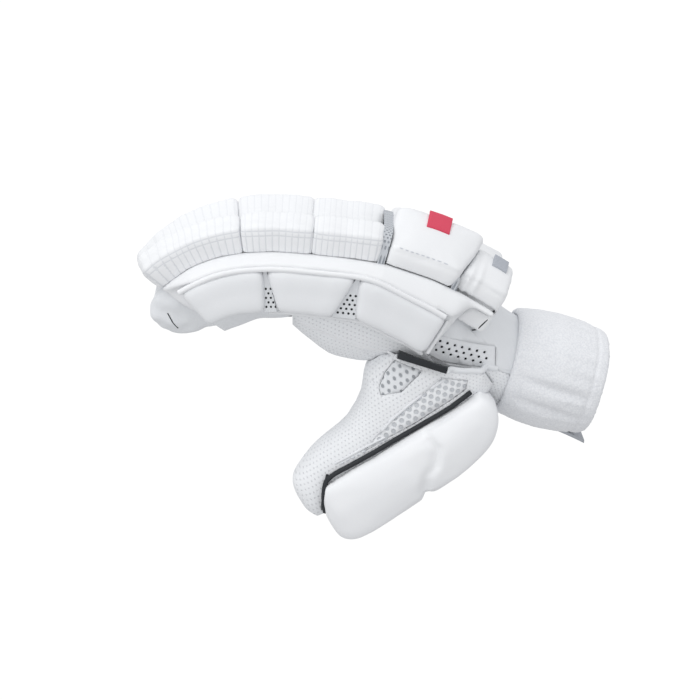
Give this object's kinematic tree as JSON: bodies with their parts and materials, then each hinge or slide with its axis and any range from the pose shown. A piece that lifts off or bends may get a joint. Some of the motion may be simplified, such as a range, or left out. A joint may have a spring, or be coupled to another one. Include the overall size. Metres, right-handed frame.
{
  "type": "cricket batting glove",
  "caption": "Padded white cricket batting glove for the right hand, curled as on a hand, with scored finger rolls, side bar pads, a two-part thumb guard and a towelling wristband",
  "frame": {"origin": "middle of the wristband's open end, where the wrist goes in", "axes": "-X points to the fingertips, -Y to the thumb side, +Z out of the back of the hand; lengths in metres"},
  "size_m": [0.2672, 0.1251, 0.1903],
  "materials": {
    "roll_leather": "smooth coated leather, matte sheen",
    "pad_leather": "smooth coated leather, matte sheen",
    "palm_leather": "soft leather with fine perforations, matte",
    "mesh_fabric": "spacer mesh, matte",
    "terry": "looped towelling, matte",
    "black_trim": "black coated trim, satin",
    "red_patch": "moulded patch, satin",
    "grey_patch": "embroidered patch, matte",
    "hook_tape": "woven hook tape, matte"
  },
  "bodies": {
    "root": {"back_panel": "palm_leather", "closing_tab": "hook_tape", "hand_badge": "red_patch", "hand_pad_far": "roll_leather", "hand_pad_near": "roll_leather", "heel_piping": "pad_leather", "index_roll_base": "roll_leather", "index_roll_mid": "roll_leather", "index_roll_tip": "roll_leather", "index_stall": "pad_leather", "little_roll_base": "roll_leather", "little_roll_mid": "roll_leather", "little_roll_tip": "roll_leather", "little_stall": "pad_leather", "loop_tag": "black_trim", "middle_roll_base": "roll_leather", "middle_roll_mid": "roll_leather", "middle_roll_tip": "roll_leather", "middle_stall": "pad_leather", "palm_panel": "palm_leather", "ring_roll_base": "roll_leather", "ring_roll_mid": "roll_leather", "ring_roll_tip": "roll_leather", "ring_stall": "pad_leather", "side_bar": "pad_leather", "side_pad_base": "pad_leather", "side_pad_mid": "pad_leather", "side_pad_tip": "pad_leather", "side_panel": "palm_leather", "side_piping": "pad_leather", "thumb_mesh": "mesh_fabric", "thumb_pad_base": "pad_leather", "thumb_pad_tip": "pad_leather", "thumb_piping": "black_trim", "thumb_stall": "palm_leather", "web_mesh": "mesh_fabric", "wrist_badge": "grey_patch", "wrist_pad_far": "roll_leather", "wrist_pad_near": "roll_leather", "wristband": "terry"}
  },
  "joints": []
}
